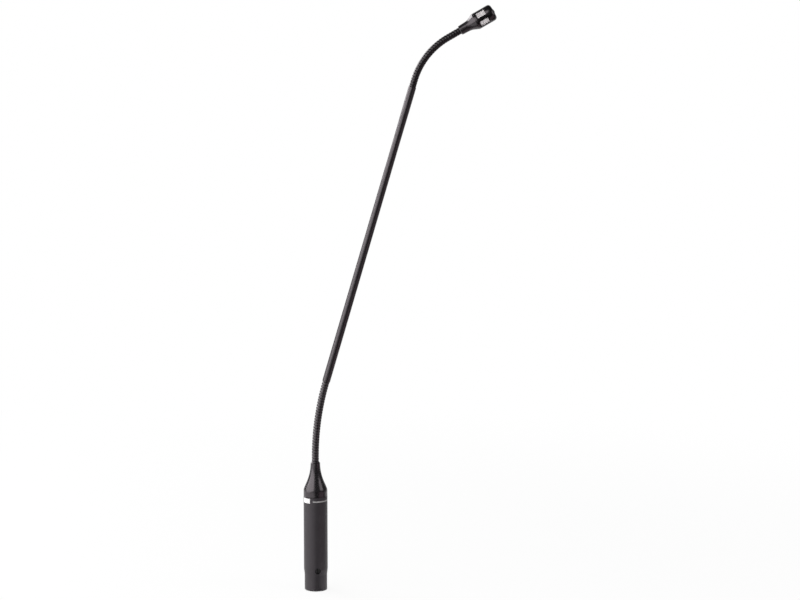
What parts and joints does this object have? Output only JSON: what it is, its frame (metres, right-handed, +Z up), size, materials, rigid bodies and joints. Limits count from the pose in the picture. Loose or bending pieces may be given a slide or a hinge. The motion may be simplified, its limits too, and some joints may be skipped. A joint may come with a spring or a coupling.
{
  "type": "gooseneck microphone",
  "caption": "Slim gooseneck podium microphone with a plug-in base, flexible wound necks, a rigid stem between them and a windowed capsule head.",
  "frame": {"origin": "centre of the plug's mouth, on the base's axis, at the lowest edge of the base", "axes": "+Z up the base's axis, +X the way the necks lean at rest, -Y towards the viewer of the picture"},
  "size_m": [0.1723, 0.0216, 0.5285],
  "materials": {
    "black_metal": "satin black coat",
    "grille_steel": "blackened perforated sheet",
    "winding_steel": "black wound wire with worn, brighter crests",
    "core_steel": "plain spring steel",
    "insulator": "moulded black insulator",
    "contact_plating": "plated contact metal",
    "circuit_board": "green solder mask",
    "capacitor_sleeve": "dark blue sleeve",
    "component_body": "moulded component bodies",
    "cable_jacket": "matt black jacket",
    "bush_brass": "turned brass",
    "bright_aluminium": "bright pale metal with a fine grain",
    "seat_rubber": "matt black rubber"
  },
  "bodies": {
    "base": {"base_housing": "black_metal", "base_nose": "black_metal", "xlr_insert": "insulator", "contact_pins": "contact_plating", "ground_tag": "contact_plating", "insert_screw": "black_metal", "preamp_board": "circuit_board", "board_capacitors": "capacitor_sleeve", "board_transistor": "component_body", "board_resistors": "component_body", "output_leads": "cable_jacket", "neck_ferrule": "bush_brass", "lower_core_root": "core_steel", "lower_core_1": "core_steel", "lower_winding": "winding_steel", "signal_cable": "cable_jacket"},
    "lower_link_1": {"lower_core_2": "core_steel", "lower_core_3": "core_steel", "lower_core_4": "core_steel"},
    "lower_link_2": {"lower_core_5": "core_steel", "lower_core_6": "core_steel", "lower_core_7": "core_steel"},
    "lower_link_3": {"lower_core_8": "core_steel", "lower_core_9": "core_steel", "lower_core_10": "core_steel"},
    "stem": {"lower_core_11": "core_steel", "lower_core_tip": "core_steel", "stem_lower_bush": "bush_brass", "stem_tube": "black_metal", "stem_upper_bush": "bush_brass", "upper_core_root": "core_steel", "upper_core_1": "core_steel", "upper_winding": "winding_steel"},
    "upper_link_1": {"upper_core_2": "core_steel", "upper_core_3": "core_steel", "upper_core_4": "core_steel"},
    "upper_link_2": {"upper_core_5": "core_steel", "upper_core_6": "core_steel", "upper_core_7": "core_steel"},
    "upper_link_3": {"upper_core_8": "core_steel", "upper_core_9": "core_steel", "upper_core_10": "core_steel"},
    "head": {"upper_core_11": "core_steel", "upper_core_tip": "core_steel", "head_ferrule": "bush_brass", "head_neck": "black_metal", "capsule_shell": "black_metal", "window_sleeve": "bright_aluminium", "front_grille": "grille_steel", "grille_ring": "grille_steel", "capsule_cartridge": "bright_aluminium", "capsule_gasket": "seat_rubber", "capsule_board": "circuit_board"}
  },
  "joints": [
    {"name": "lower_bend_root", "type": "hinge", "parent": "base", "child": "lower_link_1", "pos_m": [0.00006, 0, 0.12697], "axis": [0, 1, 0], "range_deg": [-38, 22], "deforming": ["lower_winding", "signal_cable"]},
    {"name": "lower_sway_root", "type": "hinge", "parent": "lower_link_1", "child": "lower_link_2", "pos_m": [0.00117, 0, 0.14569], "axis": [0.9953, 0, -0.0965], "range_deg": [-24, 24]},
    {"name": "lower_bend_tip", "type": "hinge", "parent": "lower_link_2", "child": "lower_link_3", "pos_m": [0.00367, 0, 0.16426], "axis": [0, 1, 0], "range_deg": [-38, 22]},
    {"name": "lower_sway_tip", "type": "hinge", "parent": "lower_link_3", "child": "stem", "pos_m": [0.00757, 0, 0.1826], "axis": [0.9697, 0, -0.2444], "range_deg": [-24, 24]},
    {"name": "upper_bend_root", "type": "hinge", "parent": "stem", "child": "upper_link_1", "pos_m": [0.0899, 0, 0.4646], "axis": [0, 1, 0], "range_deg": [-47, 18], "deforming": ["upper_winding"]},
    {"name": "upper_sway_root", "type": "hinge", "parent": "upper_link_1", "child": "upper_link_2", "pos_m": [0.09723, 0, 0.47966], "axis": [0.834, 0, -0.5518], "range_deg": [-24, 24]},
    {"name": "upper_bend_tip", "type": "hinge", "parent": "upper_link_2", "child": "upper_link_3", "pos_m": [0.10822, 0, 0.4923], "axis": [0, 1, 0], "range_deg": [-47, 18]},
    {"name": "upper_sway_tip", "type": "hinge", "parent": "upper_link_3", "child": "head", "pos_m": [0.12206, 0, 0.50177], "axis": [0.5015, 0, -0.8652], "range_deg": [-24, 24]}
  ]
}
